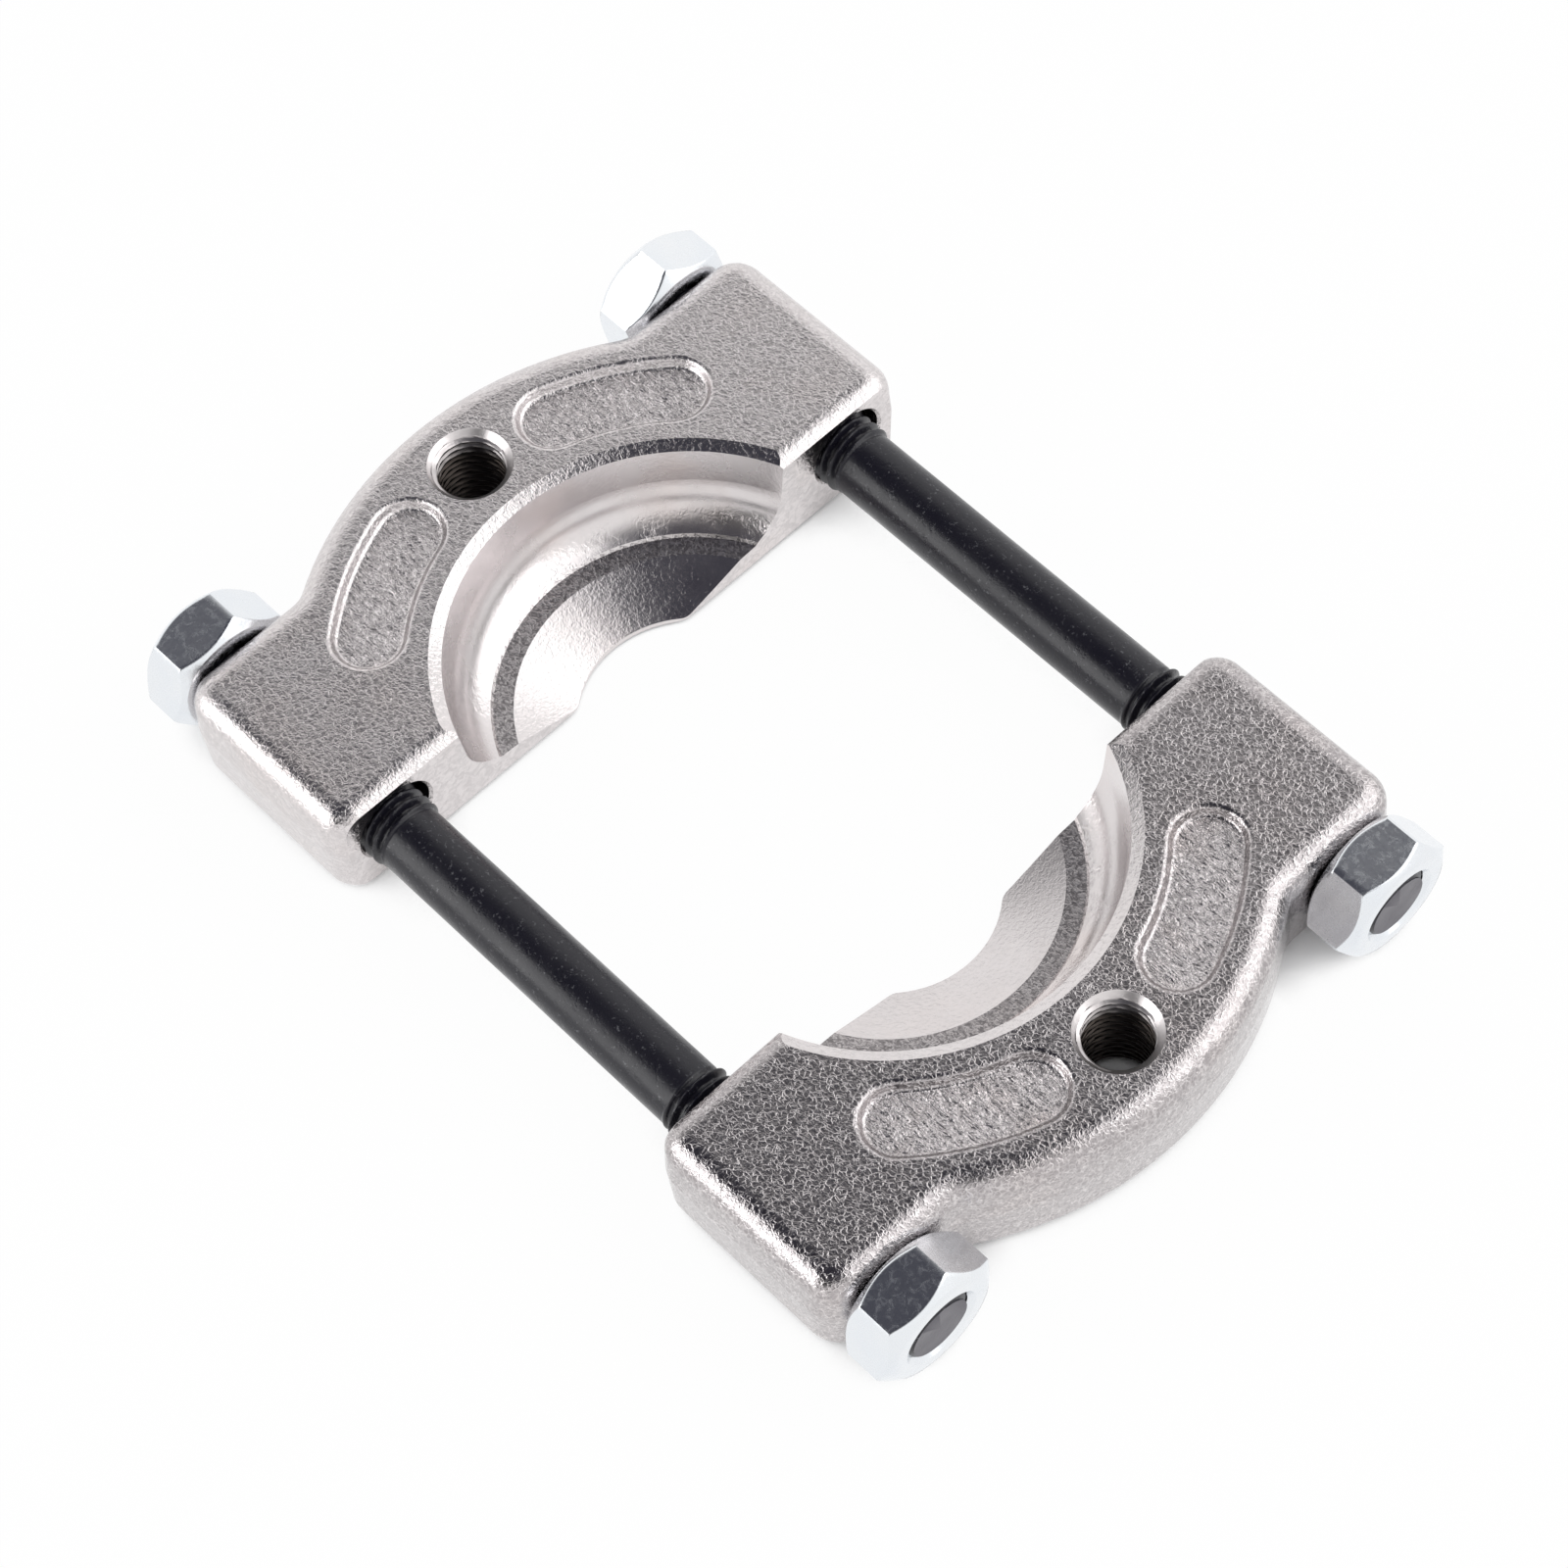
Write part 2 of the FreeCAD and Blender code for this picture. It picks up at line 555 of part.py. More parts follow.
def make_rod(label, side):
    """A rod with a plain shank and rolled threads at both ends; the thread is its outer cylinder."""
    body = document.addObject("PartDesign::Body", label)
    body.Label = label
    drawing = Drawing(body, "XZ_Plane", label + "_profile")
    thread, shank = "rod_thread_diameter / 2", "rod_shank_diameter / 2"
    end, plain = "rod_length / 2", "rod_shank_length / 2"
    drawing.polygon([
        (f"-{end}", "0"),
        (f"-{end}", f"{thread} - rod_end_chamfer"),
        (f"-{end} + rod_end_chamfer", thread),
        (f"-{plain} - rod_runout", thread),
        (f"-{plain}", shank),
        (plain, shank),
        (f"{plain} + rod_runout", thread),
        (f"{end} - rod_end_chamfer", thread),
        (end, f"{thread} - rod_end_chamfer"),
        (end, "0"),
    ])
    turned = body.newObject("PartDesign::Revolution", label + "_turned")
    turned.Profile = drawing.sketch
    turned.ReferenceAxis = (drawing.sketch, ["H_Axis"])
    turned.Angle = 360.0
    document.recompute()
    bind(body, "Placement.Base.x", "-rod_shift")
    bind(body, "Placement.Base.y", "half_spacing" if side > 0 else "-half_spacing")
    bind(body, "Placement.Base.z", "rod_axis_height")


def make_nut(label, jaw_side, rod_side):
    """A hexagon nut with both faces chamfered, seated on the end of its ear."""
    body = document.addObject("PartDesign::Body", label)
    body.Label = label
    hexagon = Drawing(body, "YZ_Plane", label + "_hexagon")
    radius = size("nut_corner_radius")
    corners = []
    for step in range(6):
        turn = math.radians(60 * step)
        corners.append((radius * math.sin(turn), radius * math.cos(turn)))
    lines = [hexagon.line(corners[i], corners[(i + 1) % 6]) for i in range(6)]
    ring = hexagon.circle((0, 0), radius, construction=True)
    hexagon.constrain("Coincident", ring, 3, -1, 1)
    hexagon.bound("nut_corner_radius", "Radius", ring)
    for index, line in enumerate(lines):
        hexagon.join(lines[index - 1], 2, line, 1)
        hexagon.constrain("PointOnObject", line, 1, ring)
        if index:
            hexagon.constrain("Equal", lines[0], line)
    hexagon.constrain("PointOnObject", lines[0], 1, -2)
    pad = body.newObject("PartDesign::Pad", label + "_blank")
    pad.Profile = hexagon.sketch
    bind(pad, "Length", "nut_height")
    document.recompute()

    corner_cut = Drawing(body, "XZ_Plane", label + "_corner_profile")
    face = "nut_face_diameter / 2"
    over = "nut_corner_radius + 1"
    slope = "(nut_corner_radius + 1 - nut_face_diameter / 2) * tan(nut_chamfer_angle * 1deg)"
    corner_cut.polygon([("0", face), (slope, over), ("0", over)])
    corner_cut.polygon([("nut_height", face), (f"nut_height - {slope}", over), ("nut_height", over)])
    turned_cut(body, corner_cut, label + "_corner_chamfers", "H_Axis")

    bore = Drawing(body, "XZ_Plane", label + "_bore_profile")
    wall = "rod_thread_diameter / 2 + nut_bore_clearance"
    bore.polygon([
        ("-nut_bore_chamfer", "0"),
        ("-nut_bore_chamfer", f"{wall} + 2 * nut_bore_chamfer"),
        ("nut_bore_chamfer", wall),
        ("nut_height - nut_bore_chamfer", wall),
        ("nut_height + nut_bore_chamfer", f"{wall} + 2 * nut_bore_chamfer"),
        ("nut_height + nut_bore_chamfer", "0"),
    ])
    turned_cut(body, bore, label + "_bore", "H_Axis")

    seat = "nut_seat_offset" if jaw_side > 0 else "-nut_seat_offset - nut_height"
    bind(body, "Placement.Base.x", seat)
    bind(body, "Placement.Base.y", "half_spacing" if rod_side > 0 else "-half_spacing")
    bind(body, "Placement.Base.z", "rod_axis_height")
    body.Placement = FreeCAD.Placement(body.Placement.Base, FreeCAD.Rotation(Vector(1, 0, 0), 0))
    body.setExpression("Placement.Rotation.Angle", f"sizes.{label}_angle * 1deg")


def check_and_write():
    """Every feature must be sound before any file is written."""
    document.recompute()
    for item in document.Objects:
        faults = [state for state in item.State if state in ("Invalid", "Error")]
        if faults:
            raise RuntimeError(f"{item.Name} is {faults}")
    bodies = [item for item in document.Objects if item.TypeId == "PartDesign::Body"]
    for body in bodies:
        shape = body.Shape
        if shape.isNull() or not shape.isValid() or len(shape.Solids) != 1:
            raise RuntimeError(f"{body.Label} has no sound single solid")
    os.makedirs("parts", exist_ok=True)
    for body in bodies:
        body.Shape.exportStep(f"parts/{body.Label}.step")
        box = body.Shape.BoundBox
        print(body.Label, round(body.Shape.Volume), "mm3",
              [round(v, 2) for v in (box.XMin, box.XMax, box.YMin, box.YMax, box.ZMin, box.ZMax)])


fill_sheet()
make_jaw("jaw_a", -1)
make_jaw("jaw_b", 1)
make_rod("rod_1", 1)
make_rod("rod_2", -1)
make_nut("nut_a1", -1, 1)
make_nut("nut_a2", -1, -1)
make_nut("nut_b1", 1, 1)
make_nut("nut_b2", 1, -1)
check_and_write()
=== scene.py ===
# %% [markdown]
# # A bearing separator in Blender
#
# A bearing separator has two cast half-jaws that slide on two threaded rods. Four nuts draw the
# jaws together behind a bearing. The solid model is already built and packed as a frame, so this
# lesson keeps every size and place from it. It adds what a solid model leaves out: the threads,
# the grain of a plated casting, the dull black of the rods and the bright zinc of the nuts.

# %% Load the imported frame
import math
import bpy
import numpy as np
from mathutils import Matrix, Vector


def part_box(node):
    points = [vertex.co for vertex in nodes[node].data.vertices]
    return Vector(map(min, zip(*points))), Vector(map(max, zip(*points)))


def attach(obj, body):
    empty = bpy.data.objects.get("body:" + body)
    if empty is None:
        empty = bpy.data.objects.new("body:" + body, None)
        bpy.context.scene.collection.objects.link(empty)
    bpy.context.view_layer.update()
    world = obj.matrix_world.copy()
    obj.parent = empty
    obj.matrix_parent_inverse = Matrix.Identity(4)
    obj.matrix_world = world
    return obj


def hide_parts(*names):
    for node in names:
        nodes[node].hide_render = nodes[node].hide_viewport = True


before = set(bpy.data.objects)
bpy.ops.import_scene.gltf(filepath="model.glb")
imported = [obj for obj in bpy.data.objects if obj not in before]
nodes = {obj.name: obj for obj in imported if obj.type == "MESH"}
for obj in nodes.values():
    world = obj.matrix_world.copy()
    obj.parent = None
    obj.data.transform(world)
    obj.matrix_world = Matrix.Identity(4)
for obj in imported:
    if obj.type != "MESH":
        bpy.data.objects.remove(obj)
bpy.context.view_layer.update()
print("nodes:", sorted(nodes))

# %% [markdown]
# ## Camera
#
# The photograph was taken from above with a long lens. A camera could be set by eye, but a
# measured one lets every edge be compared with the picture. The lens is about 103 mm on a 36 mm
# sensor, and the tool is tilted a few degrees in the picture, so the camera also has a roll.

# %% Place the camera
MM = 0.001
PICTURE_WIDTH = 1600
FOCAL_PIXELS = 4570.0
CAMERA_PLACE = np.array([306.13, -247.42, 673.60]) * MM
CAMERA_AZIMUTH = math.radians(51.047)
CAMERA_ELEVATION = math.radians(59.395)
CAMERA_ROLL = math.radians(-5.677)


def camera_axes(azimuth, elevation, roll):
    """Columns right, up and back: back points from the object to the camera; right and up are
    square to it, and both are turned about it by the roll."""
    back = np.array([math.sin(azimuth) * math.cos(elevation),
                     -math.cos(azimuth) * math.cos(elevation),
                     math.sin(elevation)])
    level = np.cross(-back, [0.0, 0.0, 1.0])
    level /= np.linalg.norm(level)
    down = np.cross(-back, level)
    right = math.cos(roll) * level - math.sin(roll) * down
    up = -(math.sin(roll) * level + math.cos(roll) * down)
    return np.column_stack([right, up, back])


scene = bpy.context.scene
camera_data = bpy.data.cameras.new("camera")
camera_data.sensor_width = 36.0
camera_data.lens = FOCAL_PIXELS / PICTURE_WIDTH * camera_data.sensor_width
camera_data.clip_start = 0.01
camera_data.clip_end = 20.0
camera = bpy.data.objects.new("camera", camera_data)
scene.collection.objects.link(camera)
placed = np.eye(4)
placed[:3, :3] = camera_axes(CAMERA_AZIMUTH, CAMERA_ELEVATION, CAMERA_ROLL)
placed[:3, 3] = CAMERA_PLACE
camera.matrix_world = Matrix(placed.tolist())
scene.camera = camera
scene.view_settings.view_transform = "Standard"
print("lens", round(camera_data.lens, 1), "mm")

# %% [markdown]
# ## Mesh helpers
#
# Every new surface here is a grid: rows along one direction and columns along another. The
# points come from a formula on whole arrays, and one helper turns the grid into a mesh.

# %% From grids to meshes


def grid_quads(rows, columns, first=0):
    """Corner numbers of the quads of a grid that closes on itself across its columns. Point (i, j)
    has number first + i * columns + j, and each quad runs to the next row and the next column."""
    i, j = np.meshgrid(np.arange(rows - 1), np.arange(columns), indexing="ij")
    this_row = i * columns
    next_row = this_row + columns
    following = (j + 1) % columns
    corners = [this_row + j, this_row + following, next_row + following, next_row + j]
    return np.stack(corners, axis=-1).reshape(-1, 4) + first


def mesh_object(name, points, faces, material, smooth_angle=None):
    """A new object from points and a list of faces, shaded smooth up to an angle in degrees."""
    mesh = bpy.data.meshes.new(name)
    mesh.from_pydata(points.tolist(), [], faces)
    mesh.polygons.foreach_set("use_smooth", np.ones(len(mesh.polygons), dtype=bool))
    if smooth_angle is not None:
        mesh.set_sharp_from_angle(angle=math.radians(smooth_angle))
    mesh.materials.append(material)
    piece = bpy.data.objects.new(name, mesh)
    scene.collection.objects.link(piece)
    return piece


# %% [markdown]
# ## Finishes
#
# A material is a small network of nodes. The helpers below shorten the wiring: they add a node
# and set its inputs, make a noise, map it to another range, blend two colours and turn a pattern
# into relief.

# %% Node helpers


def new_material(name):
    """An empty node material with its output and one shader."""
    material = bpy.data.materials.new(name)
    material.use_nodes = True
    tree = material.node_tree
    tree.nodes.clear()
    output = tree.nodes.new("ShaderNodeOutputMaterial")
    shader = tree.nodes.new("ShaderNodeBsdfPrincipled")
    tree.links.new(shader.outputs["BSDF"], output.inputs["Surface"])
    return material, tree, shader


def set_socket(tree, socket, value):
    """Joins a socket to another one, or gives it a plain value."""
    if isinstance(value, bpy.types.NodeSocket):
        tree.links.new(value, socket)
    else:
        socket.default_value = value


def add_node(tree, kind, settings=None, **inputs):
    """A node of a kind, with plain settings and with named inputs."""
    node = tree.nodes.new(kind)
    for key, value in (settings or {}).items():
        setattr(node, key, value)
    for key, value in inputs.items():
        set_socket(tree, node.inputs[key], value)
    return node


def noise(tree, place, scale, detail=2.0, roughness=0.5, distortion=0.0):
    """A noise pattern whose lumps are about 1 / scale metres across, from 0 to 1."""
    node = add_node(tree, "ShaderNodeTexNoise", None, Vector=place, Scale=scale, Detail=detail,
                    Roughness=roughness, Distortion=distortion)
    return node.outputs["Fac"]


def spread(tree, value, low, high, to_low=0.0, to_high=1.0):
    """Maps a value from one range to another and holds it inside the new range."""
    node = add_node(tree, "ShaderNodeMapRange", {"clamp": True}, Value=value)
    node.inputs["From Min"].default_value = low
    node.inputs["From Max"].default_value = high
    node.inputs["To Min"].default_value = to_low
    node.inputs["To Max"].default_value = to_high
    return node.outputs["Result"]


def calculate(tree, operation, first, second=0.0, third=0.0):
    """One sum, product or other operation on two or three values."""
    node = add_node(tree, "ShaderNodeMath", {"operation": operation})
    for socket, value in zip(node.inputs, (first, second, third)):
        set_socket(tree, socket, value)
    return node.outputs[0]


def blend_colours(tree, amount, first, second):
    """A colour between two colours."""
    node = add_node(tree, "ShaderNodeMix", {"data_type": "RGBA"})
    for key, value in (("Factor_Float", amount), ("A_Color", first), ("B_Color", second)):
        set_socket(tree, next(s for s in node.inputs if s.identifier == key), value)
    return next(s for s in node.outputs if s.identifier == "Result_Color")


def relief(tree, height, distance, normal=None):
    """A bump: height from 0 to 1 stands for a lift of up to the distance, in metres."""
    node = add_node(tree, "ShaderNodeBump", None, Height=height)
    node.inputs["Distance"].default_value = distance
    if normal is not None:
        tree.links.new(normal, node.inputs["Normal"])
    return node.outputs["Normal"]


# %% [markdown]
# ## Cast and plated steel
#
# The jaws are cast in sand and then plated. The skin of the casting shows through the plating as
# short crumpled creases, and the plating shines on every small slope of them. Light and dark spots
# could be painted on, but they would stay as they are when the light moves, so the grain is
# relief. A noise that is cut to a narrow band makes flat plateaus with steep rims, and a finer
# noise gives the grain on them. Jaw B is crumpled more: there a bent cell pattern adds thin raised
# lines. Even so, the hollows of the grain are also painted darker on both jaws, most on jaw B:
# that is painted shade in the creases.

# %% Nickel on a cast surface
NICKEL_CLEAN = (0.66, 0.625, 0.625, 1.0)
NICKEL_WARM = (0.66, 0.585, 0.56, 1.0)
# The colour of the painted shade in the hollows of the grain.
NICKEL_HOLLOW_SHADE = (0.25, 0.23, 0.235, 1.0)
FOLD_TURN = math.radians(35.0)
FOLD_STRETCH = 3.2
FOLDS_PER_METRE = 330.0
CALM_PATCHES_PER_METRE = 130.0
CALM_HEIGHT = 0.12
STAINS_PER_METRE = 55.0
SMEARS_PER_METRE = 160.0
LINE_SHARE = 0.65
LINE_BEND = 1.6
LINE_WIDTH = (0.02, 0.16)


def raised_lines(tree, place, cell):
    """Thin lines between irregular cells of a size, from 0 inside the cells to 1 on the lines. The
    cells are bent by a noise first, so that no line stays straight, and a second noise breaks the
    net into short pieces. LINE_BEND and LINE_WIDTH count in cells."""
    bend = add_node(tree, "ShaderNodeTexNoise", None, Vector=place, Scale=0.8 / cell)
    reach = LINE_BEND * cell
    bent = add_node(tree, "ShaderNodeVectorMath", {"operation": "MULTIPLY_ADD"})
    set_socket(tree, bent.inputs[0], bend.outputs["Color"])
    set_socket(tree, bent.inputs[1], (reach, reach, reach))
    set_socket(tree, bent.inputs[2], place)
    cells = add_node(tree, "ShaderNodeTexVoronoi", {"feature": "DISTANCE_TO_EDGE"},
                     Vector=bent.outputs["Vector"], Scale=1.0 / cell)
    net = spread(tree, cells.outputs["Distance"], *LINE_WIDTH, 1.0, 0.0)
    broken = spread(tree, noise(tree, place, 0.8 / cell, detail=1.0), 0.36, 0.6, 0.3, 1.0)
    return calculate(tree, "MULTIPLY", net, broken)


def nickel(name, crease, crease_height, grain, grain_height, roughness,
           folds=0.0, stain=0.3, hollow_shade=0.0, rough_foot=None, cell=None):
    """Plated metal. crease and grain are the sizes of two patterns, in metres, with their heights.
    folds is the height of slanting folds and stain the share of warmer patches; the share after it
    says how far the hollows of the grain are painted towards a darker colour, a painted shade. With
    rough_foot only patches below that height keep their creases, and cell is the size of the cells
    between raised lines."""
    material, tree, shader = new_material(name)
    place = add_node(tree, "ShaderNodeTexCoord").outputs["Object"]
    normal = None
    if folds:
        turned = add_node(tree, "ShaderNodeMapping", None, Vector=place)
        turned.inputs["Rotation"].default_value = (0.0, 0.0, FOLD_TURN)
        turned.inputs["Scale"].default_value = (1.0, FOLD_STRETCH, 1.0)
        slants = noise(tree, turned.outputs["Vector"], FOLDS_PER_METRE, detail=3.0,
                       roughness=0.6, distortion=0.8)
        normal = relief(tree, slants, folds)
    crumples = noise(tree, place, 1.0 / crease, detail=3.0, roughness=0.62, distortion=0.9)
    plateaus = spread(tree, crumples, 0.4, 0.6)
    if cell:
        lines = calculate(tree, "MULTIPLY", raised_lines(tree, place, cell), LINE_SHARE)
        plateaus = calculate(tree, "MULTIPLY_ADD", plateaus, 1.0 - LINE_SHARE, lines)
    height = plateaus
    if rough_foot:
        level = add_node(tree, "ShaderNodeSeparateXYZ", None, Vector=place).outputs["Z"]
        low = spread(tree, level, rough_foot * 0.75, rough_foot)
        smooth = spread(tree, noise(tree, place, CALM_PATCHES_PER_METRE), 0.45, 0.6, 1.0, 0.0)
        calm = calculate(tree, "MAXIMUM", low, smooth)
        kept = spread(tree, calm, 0.0, 1.0, 1.0, CALM_HEIGHT)
        height = calculate(tree, "MULTIPLY", plateaus, kept)
    normal = relief(tree, height, crease_height, normal)
    grains = noise(tree, place, 1.0 / grain, detail=2.0, roughness=0.6)
    normal = relief(tree, grains, grain_height, normal)
    tree.links.new(normal, shader.inputs["Normal"])
    stains = noise(tree, place, STAINS_PER_METRE, detail=3.0)
    patches = spread(tree, stains, 0.5, 0.72, 0.0, stain)
    tone = blend_colours(tree, patches, NICKEL_CLEAN, NICKEL_WARM)
    # Painted shade: the hollows of the grain are blended towards a darker colour.
    if hollow_shade:
        hollows = calculate(tree, "MULTIPLY", calculate(tree, "SUBTRACT", 1.0, plateaus), hollow_shade)
        tone = blend_colours(tree, hollows, tone, NICKEL_HOLLOW_SHADE)
    tree.links.new(tone, shader.inputs["Base Color"])
    blotches = noise(tree, place, SMEARS_PER_METRE, detail=3.0)
    gloss = spread(tree, blotches, 0.3, 0.7, roughness * 0.85, roughness * 1.2)
    tree.links.new(gloss, shader.inputs["Roughness"])
    shader.inputs["Metallic"].default_value = 1.0
    return material


# Name, then crease size and height and grain size and height in metres, then roughness
# The share given for the hollows paints shade into them: most on jaw B and on the ledge.
skin_a = nickel("cast_skin_a", 0.0009, 0.00004, 0.00045, 0.00004, 0.2, hollow_shade=0.2)
skin_b = nickel("cast_skin_b", 0.0009, 0.00006, 0.00045, 0.00002, 0.12, hollow_shade=0.78, cell=0.001)
pocket_floor = nickel("pocket_floor", 0.0009, 0.00004, 0.0005, 0.00002, 0.17, folds=0.0006,
                      stain=0.7, hollow_shade=0.4)
ledge_skin = nickel("ledge_skin", 0.0008, 0.00002, 0.0004, 0.00002, 0.2, hollow_shade=0.8)
turned_skin = nickel("turned_skin", 0.0012, 0.00004, 0.0004, 0.000008, 0.25, stain=0.6,
                     rough_foot=0.0105)
knife_skin = nickel("knife_skin", 0.0008, 0.000015, 0.0004, 0.000015, 0.22, stain=0.2)
rim_skin = nickel("rim_skin", 0.0009, 0.00003, 0.0004, 0.00002, 0.16, stain=0.1)
milled_skin = nickel("milled_skin", 0.0016, 0.00004, 0.0004, 0.000015, 0.2, hollow_shade=0.25)

# %% The thread of the puller hole
# Painted shade inside the tapped hole: its dark colour, the height below which it is full, the
# height where it ends and how far that edge wanders.
HOLE_SHADE_COLOUR = (0.045, 0.038, 0.034, 1.0)
FULL_SHADE_LINE = 20.5 * MM
SHADE_END_LINE = 25.2 * MM
SHADE_LINE_WANDER = 4.0 * MM


def hole_thread():
    """The tapped hole is bright at its mouth and painted dark with shade a few millimetres down,
    and the edge of this painted shade wanders.
    """
    material, tree, shader = new_material("hole_thread")
    place = add_node(tree, "ShaderNodeTexCoord").outputs["Object"]
    level = add_node(tree, "ShaderNodeSeparateXYZ", None, Vector=place).outputs["Z"]
    blotches = calculate(tree, "MULTIPLY", noise(tree, place, 300.0, detail=3.0), SHADE_LINE_WANDER)
    uneven_level = calculate(tree, "ADD", level, blotches)
    # Painted shade: below the uneven line the wall of the hole turns dark.
    hole_shading = spread(tree, uneven_level, FULL_SHADE_LINE, SHADE_END_LINE, 1.0, 0.0)
    tree.links.new(blend_colours(tree, hole_shading, NICKEL_CLEAN, HOLE_SHADE_COLOUR), shader.inputs["Base Color"])
    tree.links.new(relief(tree, noise(tree, place, 1500.0), 0.00002), shader.inputs["Normal"])
    shader.inputs["Roughness"].default_value = 0.3
    shader.inputs["Metallic"].default_value = 1.0
    return material


thread_skin = hole_thread()

# %% [markdown]
# ## Black oxide and bright zinc
#
# The rods are blackened steel with a little oil on them: nearly black, with a soft sheen. The nuts
# are zinc plated, a cool bluish white, and smoother than the castings.

# %% Black oxide
# Colour of the pale specks: partly dust, partly painted glints of the sheen.
SPECK_DUST_AND_GLINT = (0.1, 0.1, 0.11, 1.0)
PIT_DEPTH = 0.03 * MM


def black_oxide(name, colour, roughness):
    """Blackened steel of a colour, with shallow pits, fine grain, uneven gloss and pale dusty
    specks that also stand in for painted glints of the sheen.
    """
    material, tree, shader = new_material(name)
    place = add_node(tree, "ShaderNodeTexCoord").outputs["Object"]
    grain = noise(tree, place, 2200.0, detail=2.0, roughness=0.7)
    pits = spread(tree, noise(tree, place, 420.0, detail=3.0, roughness=0.65), 0.3, 0.45)
    normal = relief(tree, pits, PIT_DEPTH, relief(tree, grain, PIT_DEPTH))
    tree.links.new(normal, shader.inputs["Normal"])
    blotches = noise(tree, place, 90.0, detail=4.0)
    gloss = spread(tree, blotches, 0.35, 0.65, roughness * 0.8, roughness * 1.25)
    tree.links.new(gloss, shader.inputs["Roughness"])
    # Pale specks in the colour: partly dust, partly painted glints of the sheen.
    specks = noise(tree, place, 1300.0, detail=3.0, roughness=0.7)
    dust_and_glints = spread(tree, specks, 0.6, 0.72)
    tree.links.new(blend_colours(tree, dust_and_glints, colour, SPECK_DUST_AND_GLINT), shader.inputs["Base Color"])
    shader.inputs["Metallic"].default_value = 0.0
    shader.inputs["Specular IOR Level"].default_value = 0.4
    return material


oxide = black_oxide("black_oxide", (0.008, 0.0075, 0.013, 1.0), 0.29)
cut_end = black_oxide("cut_end", (0.085, 0.08, 0.095, 1.0), 0.42)

# %% Bright zinc
ZINC_BLUE = (0.7, 0.735, 0.78, 1.0)
ZINC_WHITE = (0.78, 0.79, 0.8, 1.0)
DENT_DEPTH = 0.025 * MM
GRAIN_DEPTH = 0.01 * MM


def bright_zinc():
    """Zinc plating: faint dents, fine grain, clouds in the tone and small scuffs in the gloss."""
    material, tree, shader = new_material("bright_zinc")
    place = add_node(tree, "ShaderNodeTexCoord").outputs["Object"]
    dents = noise(tree, place, 420.0, detail=3.0, roughness=0.6)
    grain = noise(tree, place, 1500.0, detail=2.0)
    normal = relief(tree, grain, GRAIN_DEPTH, relief(tree, dents, DENT_DEPTH))
    tree.links.new(normal, shader.inputs["Normal"])
    clouds = noise(tree, place, 110.0, detail=3.0)
    tree.links.new(blend_colours(tree, clouds, ZINC_BLUE, ZINC_WHITE), shader.inputs["Base Color"])
    scratches = noise(tree, place, 700.0, detail=4.0, roughness=0.7, distortion=0.8)
    scuffs = spread(tree, scratches, 0.48, 0.62)
    tree.links.new(spread(tree, scuffs, 0.0, 1.0, 0.21, 0.3), shader.inputs["Roughness"])
    shader.inputs["Metallic"].default_value = 1.0
    return material


zinc = bright_zinc()

# %% [markdown]
# ## A screw thread
#
# A thread is a V-shaped groove wound round a cylinder. Modelling the V and sweeping it along a
# helix is one way. Here the whole surface is one formula instead: the radius depends on how far a
# point is along the axis and how far round it is, so the groove, the chamfer and the run-out can
# be joined by taking the smaller or the larger of two radii.

# %% The thread formula
PITCH = 2.0 * MM
CREST_FLAT = 0.125
ROOT_FLAT = 0.25
INNER_CREST = 0.25
INNER_ROOT = 0.125
SOFT_SHARE = 0.35


def thread_fall(along, angle, pitch, crest_flat=CREST_FLAT, root_flat=ROOT_FLAT):
    """How deep a point lies in a right-hand thread, from 0 on the crest to 1 at the root. The
    phase is the distance along the axis in pitches less the share of a turn. The distance from
    the crest's middle, at most half a pitch, falls from crest flat to root flat in a straight
    flank, and a cosine softens both ends."""
    phase = along / pitch - angle / (2.0 * math.pi)
    away = np.abs(phase - np.round(phase))
    flank = (away - crest_flat / 2.0) / (0.5 - crest_flat / 2.0 - root_flat / 2.0)
    flank = np.clip(flank, 0.0, 1.0)
    softened = 0.5 - 0.5 * np.cos(math.pi * flank)
    return SOFT_SHARE * softened + (1.0 - SOFT_SHARE) * flank


def turned_about_x(along, angle, radius, centre_y, centre_z):
    """Points of a surface about an axis along X: Y takes the cosine and Z the sine of the angle."""
    across = centre_y + radius * np.cos(angle)
    height = centre_z + radius * np.sin(angle)
    return np.stack([along, across, height], axis=-1)


def turned_about_z(radius, angle, height, centre):
    """Points of a surface about an upright axis: X takes the cosine and Y the sine of the angle."""
    along = centre[0] + radius * np.cos(angle)
    across = centre[1] + radius * np.sin(angle)
    return np.stack([along, across, height], axis=-1)


# %% [markdown]
# ## Rods
#
# Each rod is a blank of 12.7 mm with an M14 thread rolled on both ends. The crest of a rolled
# thread stands above the blank, and the groove fades out over about one turn.

# %% Two threaded rods
THREAD_RADIUS = 7.0 * MM
THREAD_DEPTH = 1.227 * MM
SHANK_RADIUS = 6.35 * MM
SHANK_END = 34.5 * MM
RUN_OUT = 1.6 * MM
END_CHAMFER = 0.9 * MM
ROUND_STEPS = 72
ROWS_PER_PITCH = 14.0
PLAIN_ROWS = 9


def rod_radius(along, angle, half_length):
    """Crest less groove on the threaded ends, faded to the shank over the run-out and cut by the
    chamfer at each end."""
    threaded = THREAD_RADIUS - THREAD_DEPTH * thread_fall(along, angle, PITCH)
    share = np.clip((np.abs(along) - SHANK_END) / RUN_OUT, 0.0, 1.0)
    share = share * share * (3.0 - 2.0 * share)
    radius = SHANK_RADIUS + (threaded - SHANK_RADIUS) * share
    chamfer = THREAD_RADIUS - END_CHAMFER + (half_length - np.abs(along))
    return np.minimum(radius, chamfer)


